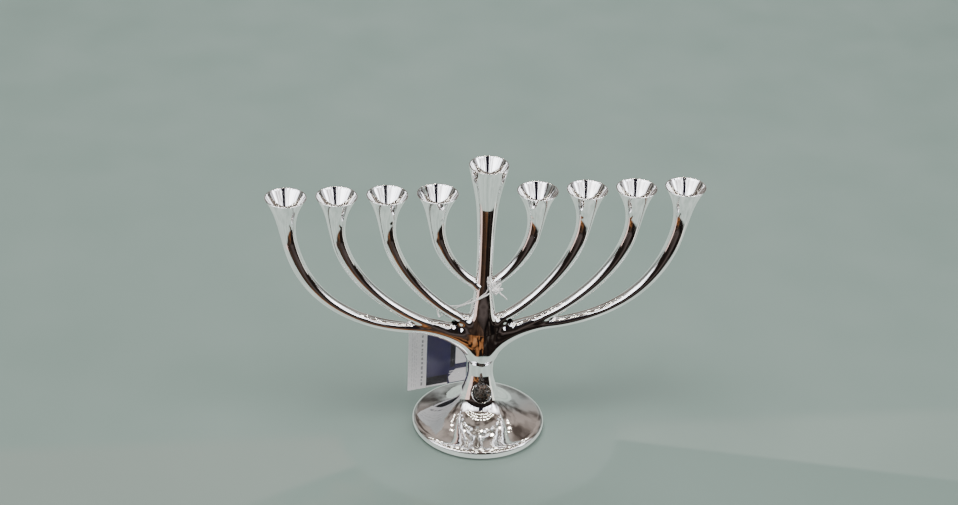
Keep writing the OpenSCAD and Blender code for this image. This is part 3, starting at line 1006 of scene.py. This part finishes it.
# --- swing tag ------------------------------------------------------------------
PIVOT = Vector((-22.3, 20.7, 62.2))
TAG_YAW = math.radians(14)
TAG_W = 38.5
TAG_H = 51.2
TAG_TOP = 2.6
SIDE_GAP = 0.8
LABEL_W = 11.4
CARD_H = 41
CARD_T = 0.45
FILM_OUT = 0.62
HOLE_R = 2.8
HOLE_DROP = 1.0


def tag_point(x, y, z):
    """A place in the tag's own plane, in the menorah's frame."""
    c, s = math.cos(TAG_YAW), math.sin(TAG_YAW)
    return (PIVOT.x + c * x - s * y, PIVOT.y + s * x + c * y, PIVOT.z + z)


def panel(x0, x1, z0, z1, y0, y1, corner=0.0, steps=5):
    """Points and faces of a thin flat panel with rounded corners in the tag's plane."""
    outline = []
    for cx, cz, start in ((x1, z1, 0), (x0, z1, 90), (x0, z0, 180), (x1, z0, 270)):
        ix = cx - corner if start in (0, 270) else cx + corner
        iz = cz - corner if start in (0, 90) else cz + corner
        if corner == 0:
            outline.append((cx, cz))
            continue
        for a in np.linspace(start, start + 90, steps):
            dx, dz = heading(a)
            outline.append((ix + corner * dx, iz + corner * dz))
    return plate(outline, y0, y1)


def plate(outline, y0, y1):
    """Points and faces of a flat plate with any outline of (x, z) in the tag's plane."""
    n = len(outline)
    points = [tag_point(x, y0, z) for x, z in outline] + [tag_point(x, y1, z) for x, z in outline]
    faces = [tuple(range(n)), tuple(range(2 * n - 1, n - 1, -1))]
    faces += [(k + n, (k + 1) % n + n, (k + 1) % n, k) for k in range(n)]
    return np.array(points), faces


def tag_piece(name, parts, material, slot, *nodes):
    piece = new_piece(name, *joined(parts), sharp_deg=30)
    return finish_piece(piece, material, "tag", slot, *nodes)


TAG_LEFT = -TAG_W / 2
TAG_BOTTOM = TAG_TOP - TAG_H
LABEL_LEFT = TAG_LEFT + SIDE_GAP
CARD_LEFT = LABEL_LEFT + LABEL_W + 0.1
PAPER_BOTTOM = TAG_BOTTOM + SIDE_GAP
PAPER_TOP = PAPER_BOTTOM + CARD_H


def tag_label():
    front = -CARD_T / 2
    body = panel(LABEL_LEFT, LABEL_LEFT + LABEL_W, PAPER_BOTTOM, PAPER_TOP, front, -front, 0.3)
    tag_piece("label_strip", [body], LABEL, "label_paper", "tag_label")
    bars = []
    rng = np.random.default_rng(5)
    for x, thick, longest in ((2.2, 0.14, 3.6), (3.6, 0.14, 3.6), (4.8, 0.14, 2.2), (7.9, 1.1, 2.6)):
        z = PAPER_BOTTOM + 2
        while z < PAPER_TOP - 3:
            run = rng.uniform(0.9, longest)
            left = LABEL_LEFT + x + rng.uniform(0, 0.25)
            bars.append(panel(left, left + thick, z, z + run, front - 0.02, front + 0.05))
            z += run + rng.uniform(0.6, 1.6)
    tag_piece("label_bars", bars, INK, "label_paper")


def tag_card():
    front = -CARD_T / 2
    right = -TAG_LEFT - SIDE_GAP
    body = panel(CARD_LEFT, right, PAPER_BOTTOM, PAPER_TOP, front, -front, 0.4)
    tag_piece("blue_card", [body], CARD, "printed_card", "tag_card")
    ink = front - 0.03
    back = front + 0.05
    dark = [
        panel(CARD_LEFT + 0.1, 6.5, PAPER_BOTTOM + 1.2, -40.9, ink, back),
        panel(8.0, 10.8, -36.4, PAPER_TOP - 0.3, ink, back),
    ]
    tag_piece("card_dark_bands", dark, CARD_DARK, "printed_card")
    hexagon = [(11.3, -38.2), (right - 0.3, -38.2), (right - 0.3, -47.2), (7.8, -47.2), (6.9, -43.2)]
    pale = [
        panel(11.2, right - 0.3, -34.6, -21, ink, back, 0.3),
        panel(7.6, 10.6, -39.6, -39.0, ink, back),
        panel(7.2, 9.4, -41.0, -40.4, ink, back),
        plate(hexagon, ink, back),
        panel(CARD_LEFT + 0.1, 6.4, PAPER_BOTTOM + 0.1, PAPER_BOTTOM + 1.2, ink, back),
    ]
    tag_piece("card_pale_shapes", pale, PALE, "printed_card")


def film_depth(x, z):
    """How far a film stands off the middle plane: bowed over the card, pinched at its edges."""
    u = abs(x) / (TAG_W / 2)
    v = (z - TAG_BOTTOM) / TAG_H
    bow_out = (1 - u**6) * (1 - abs(2 * v - 1) ** 8)
    header = smooth((z - PAPER_TOP) / 4)
    crease = 0.10 * math.sin(0.55 * x + 0.9 * z) * math.sin(0.31 * z - 0.4 * x)
    return 0.08 + (FILM_OUT - 0.22) * bow_out * (1 - 0.6 * header) + crease * bow_out * 0.8


def tag_sleeve():
    """Two films joined round their edges, with the hole that the thread runs through."""
    cols = np.linspace(TAG_LEFT, -TAG_LEFT, 45)
    rows = np.linspace(TAG_BOTTOM, TAG_TOP, 59)
    bm = bmesh.new()
    sheets = []
    for way in (-1, 1):
        sheets.append([
            [bm.verts.new(Vector(tag_point(x, way * film_depth(x, z), z)) * MM) for x in cols]
            for z in rows
        ])
    front, back = sheets
    rim = []
    for i in range(len(rows) - 1):
        for k in range(len(cols) - 1):
            bm.faces.new((front[i][k], front[i][k + 1], front[i + 1][k + 1], front[i + 1][k]))
            bm.faces.new((back[i][k], back[i + 1][k], back[i + 1][k + 1], back[i][k + 1]))
    for i in range(len(rows) - 1):
        for k in (0, len(cols) - 1):
            rim.append((front[i][k], front[i + 1][k], back[i + 1][k], back[i][k]))
    for k in range(len(cols) - 1):
        for i in (0, len(rows) - 1):
            rim.append((front[i][k], back[i][k], back[i][k + 1], front[i][k + 1]))
    for quad in rim:
        bm.faces.new(quad)
    mesh = finished_mesh("clear_sleeve", bm)
    mesh.shade_smooth()
    mesh.set_sharp_from_angle(angle=math.radians(50))
    piece = placed("clear_sleeve", mesh)
    punch(piece)
    return finish_piece(piece, FILM, "tag", "clear_film", "tag_sleeve")


def punch(piece):
    """Cuts the thread's hole through both films."""
    c, s = circle(40)
    rings = [[tag_point(HOLE_R * a, y, HOLE_R * b - HOLE_DROP) for a, b in zip(c, s)] for y in (-2, 2)]
    tool = loft("hole_tool", rings)
    cut = piece.modifiers.new("hole", "BOOLEAN")
    cut.object = tool
    cut.operation = "DIFFERENCE"
    cut.solver = "EXACT"
    evaluated = piece.evaluated_get(bpy.context.evaluated_depsgraph_get())
    piece.data = bpy.data.meshes.new_from_object(evaluated)
    piece.modifiers.clear()
    bpy.data.objects.remove(tool)


# --- build ----------------------------------------------------------------------
foot()
felt_pad()
solid_turned("polished_neck", NECK_CURVES, "neck")
hub()
solid_turned("polished_stem", STEM_CURVES, "stem")
shamash_cup()
for name, way in SIDES.items():
    for n in range(1, 5):
        arm(n, name, way)
        cup(n, name, way)
bezel()
stones()
tag_label()
tag_card()
sleeve = tag_sleeve()

INNER = (("tie_bolt", STEEL), ("bolt_washer", STEEL), ("boss_stud", STEEL), ("boss_core", RESIN))
for node, material in INNER:
    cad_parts[node].data.materials.clear()
    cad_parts[node].data.materials.append(material)


# --- floor, lights and what the metal reflects ------------------------------------
class Glow(Nodes):
    """A staged material that glows in a pattern. Only reflections see the pieces that carry it."""

    def __init__(self, name, colour=(1, 1, 1), strength=1.0):
        super().__init__(name)
        self.nodes.remove(self.nodes["Principled BSDF"])
        self.glow = self.node("Emission", Color=(*colour, 1), Strength=strength)
        self.link(self.glow.outputs[0], self.nodes["Material Output"].inputs["Surface"])

    def step(self, value, start, end):
        """0 to 1 as a value goes from start to end."""
        reach = self.node("MapRange", From_Min=start, From_Max=end)
        self.link(value, reach.inputs["Value"])
        return reach.outputs["Result"]

    def along(self, axis, start, end):
        """0 to 1 along an axis, between two places in metres."""
        split = self.node("SeparateXYZ")
        self.link(self.coords, split.inputs[0])
        return self.step(split.outputs[axis], start, end)

    def distance(self, start, end):
        """0 to 1 between two distances from the origin, in metres."""
        reach = self.node("VectorMath", operation="LENGTH")
        self.link(self.coords, reach.inputs[0])
        return self.step(reach.outputs["Value"], start, end)

    def across(self, way, start, end):
        """0 to 1 along a direction in the XY plane."""
        dot = self.node("VectorMath", operation="DOT_PRODUCT")
        dot.inputs[1].default_value = (*way, 0)
        self.link(self.coords, dot.inputs[0])
        return self.step(dot.outputs["Value"], start, end)

    def mix(self, fac, a, b, blend="MIX"):
        n = self.node("Mix", data_type="RGBA", blend_type=blend)
        if isinstance(fac, float):
            n.inputs[0].default_value = fac
        else:
            self.link(fac, n.inputs[0])
        self.link(a, n.inputs[6])
        self.link(b, n.inputs[7])
        return n.outputs[2]

    def colour(self, output):
        self.link(output, self.glow.inputs["Color"])
        return self.material


def staged(name, points, faces, material, glossy_only=True):
    piece = new_piece(name, points, faces)
    piece.data.materials.append(material)
    if glossy_only:
        piece.visible_camera = False
        piece.visible_diffuse = False
        piece.visible_shadow = False
        piece.visible_transmission = False


def flat(name, centre, across, up, material):
    """A staged rectangle: centre, half-width vector and half-height vector in mm."""
    c, a, b = (np.array(v, float) for v in (centre, across, up))
    staged(name, [c - a - b, c + a - b, c + a + b, c - a + b], [(0, 1, 2, 3)], material)


ROOM_R = 2600


def room():
    """What surrounds the shelf: a dark front below, pale walls, a beige ceiling."""
    g = Glow("room_glow")
    height = g.along("Z", 0, ROOM_R * MM)
    front = g.ramp(height, [
        (0.0, (0.020, 0.014, 0.012)), (0.14, (0.045, 0.028, 0.020)), (0.22, (1.6, 1.55, 1.6)),
        (0.34, (7.0, 7.3, 8.0)), (0.60, (5.0, 5.0, 5.2)), (0.70, (0.30, 0.245, 0.21)),
        (0.86, (0.36, 0.31, 0.27)), (1.0, (0.42, 0.37, 0.33)),
    ])
    back = g.ramp(height, [
        (0.0, (0.40, 0.44, 0.42)), (0.2, (0.34, 0.36, 0.35)), (0.5, (0.36, 0.31, 0.28)),
        (0.8, (0.44, 0.38, 0.34)), (1.0, (0.42, 0.37, 0.33)),
    ])
    both = g.mix(g.along("Y", -0.5, 0.3), front, back)
    streaks = g.noise(2.2, 5, stretch=(1, 1, 0.5))
    shade = g.ramp(streaks, [(0.38, (0.22, 0.20, 0.19)), (0.58, (1.2, 1.18, 1.16))])
    material = g.colour(g.mix(1.0, both, shade, "MULTIPLY"))
    sides = 64
    rings = turned_rings([ROOM_R * heading(a) for a in np.linspace(0, 88, 23)], sides)
    staged("room", rings.reshape(-1, 3), ring_faces(len(rings), sides), material)


def lamps():
    """Small ceiling lamps in rows, and one large one over the front."""
    rng = np.random.default_rng(11)
    sides = 12
    height = 1700
    c, s = circle(sides)
    points, faces, places = [], [], []
    for x in np.arange(-1500, 1501, 210):
        for y in (-1150, -820, -560, 150, 420, 800):
            places.append((x + rng.uniform(-60, 60), y + rng.uniform(-30, 30), rng.uniform(18, 40)))
    places.append((330, -1870, 95))
    for x, y, r in places:
        faces.append(tuple(range(len(points), len(points) + sides)))
        points += [(x + r * a, y + r * b, height) for a, b in zip(c, s)]
    staged("ceiling_lamps", points, faces, Glow("lamp_glow", (1.0, 0.93, 0.80), 45).material)


def shelf():
    """The shelf as the metal mirrors it.

    It is pale close by, behind, and wherever it is seen from steeply above. In front, and at a
    low angle, it is dark: orange and brown to the left, black to the right, and pink and beige
    far round to the sides.
    """
    g = Glow("shelf_glow")
    pale = g.ramp(g.noise(16, 4), [(0.3, (0.55, 0.66, 0.59)), (0.7, (0.95, 1.05, 0.97))])
    pink = g.ramp(g.noise(7, 3), [(0.3, (1.3, 0.86, 0.76)), (0.7, (1.9, 1.4, 1.25))])
    beige = g.ramp(g.noise(7, 3), [(0.3, (1.0, 1.0, 0.88)), (0.7, (1.9, 1.9, 1.7))])
    black = g.ramp(g.noise(24, 5, stretch=(1, 1, 1.6)), [
        (0.42, (0.006, 0.005, 0.005)), (0.58, (0.022, 0.015, 0.012)), (0.70, (0.10, 0.085, 0.075)),
    ])
    orange = g.ramp(g.noise(30, 4), [
        (0.46, (0.012, 0.008, 0.006)), (0.52, (0.34, 0.13, 0.045)), (0.66, (0.60, 0.27, 0.11)),
    ])
    brown = g.ramp(g.noise(11, 5, stretch=(1, 2.5, 1)), [
        (0.35, (0.010, 0.007, 0.006)), (0.55, (0.060, 0.036, 0.025)), (0.72, (0.15, 0.09, 0.06)),
    ])
    near = g.mix(g.along("X", 0.012, 0.006), black, orange)
    low = g.mix(g.distance(0.150, 0.200), near, g.mix(g.along("X", 0.05, 0.0), black, brown))
    low = g.mix(g.across((1, -1.9), 0.0, -0.012), low, pink)
    low = g.mix(g.across((-1, -3.4), 0.0, -0.012), low, beige)
    low = g.mix(g.distance(0.080, 0.085), pale, low)
    low = g.mix(g.along("Y", -0.012, 0.0), low, pale)
    angle = g.node("LayerWeight").outputs["Facing"]
    steep = g.mix(g.step(angle, 0.225, 0.255), pale, low)
    gentle = g.mix(g.step(angle, 0.325, 0.36), pale, low)
    material = g.colour(g.mix(g.distance(0.102, 0.110), steep, gentle))
    flat("shelf_glow", (0, 0, 0.3), (ROOM_R, 0, 0), (0, ROOM_R, 0), material)


def dark_shapes():
    """Someone in front with both sleeves, a pillar, a doorway, and a low counter before them."""
    person = Glow("person_glow", (0.010, 0.008, 0.016)).material
    flat("person", (75, -900, 420), (200, 0, 0), (0, 0, 420), person)
    g = Glow("counter_glow")
    height = 140
    counter = g.colour(g.ramp(g.along("Z", 0, height * MM), [
        (0.0, (0.03, 0.022, 0.019)), (0.20, (0.11, 0.085, 0.078)), (0.32, (0.06, 0.045, 0.040)),
        (0.45, (0.018, 0.013, 0.011)), (1.0, (0.012, 0.009, 0.008)),
    ]))
    flat("counter", (0, -215, height / 2), (520, 0, 0), (0, 0, height / 2), counter)
    flat("sleeve_left", (-240, -900, 420), (38, 0, 0), (0, 0, 400), person)
    flat("sleeve_right", (380, -900, 420), (34, 0, 0), (0, 0, 400), person)
    flat("pillar", (-1100, -950, 420), (90, 0, 0), (0, 0, 420), person)
    flat("doorway", (1250, -640, 380), (75, 40, 0), (0, 0, 330), person)


def floor():
    size = 3000
    points = [(-size, -size, 0), (size, -size, 0), (size, size, 0), (-size, size, 0)]
    m = Shader("pale_floor", Base_Color=(0.140, 0.184, 0.166, 1), Roughness=0.30)
    m.bsdf.inputs["Specular IOR Level"].default_value = 0.3
    staged("floor", points, [(0, 1, 2, 3)], m.material, glossy_only=False)


def area_light(name, place, aim, size, power, colour=(1, 1, 1)):
    light = bpy.data.lights.new(name, "AREA")
    light.shape = "RECTANGLE"
    light.size, light.size_y = (v * MM for v in size)
    light.energy = power
    light.color = colour
    holder = placed(name, light)
    holder.location = Vector(place) * MM
    holder.rotation_mode = "QUATERNION"
    holder.rotation_quaternion = (Vector(aim) - Vector(place)).to_track_quat("-Z", "Y")
    holder.visible_glossy = False


def lighting():
    world = bpy.data.worlds.new("studio")
    world.use_nodes = True
    background = world.node_tree.nodes["Background"]
    background.inputs["Color"].default_value = (0.86, 0.90, 0.88, 1)
    background.inputs["Strength"].default_value = 0.55
    bpy.context.scene.world = world
    aim = (0, 0, 80)
    area_light("key", (-250, -300, 1500), aim, (900, 700), 34, (1.0, 0.98, 0.95))
    area_light("side", (700, -500, 900), aim, (500, 500), 6)
    area_light("back_light", (150, 900, 900), aim, (700, 300), 8, (0.93, 0.98, 1.0))


floor()
lighting()
room()
lamps()
shelf()
dark_shapes()
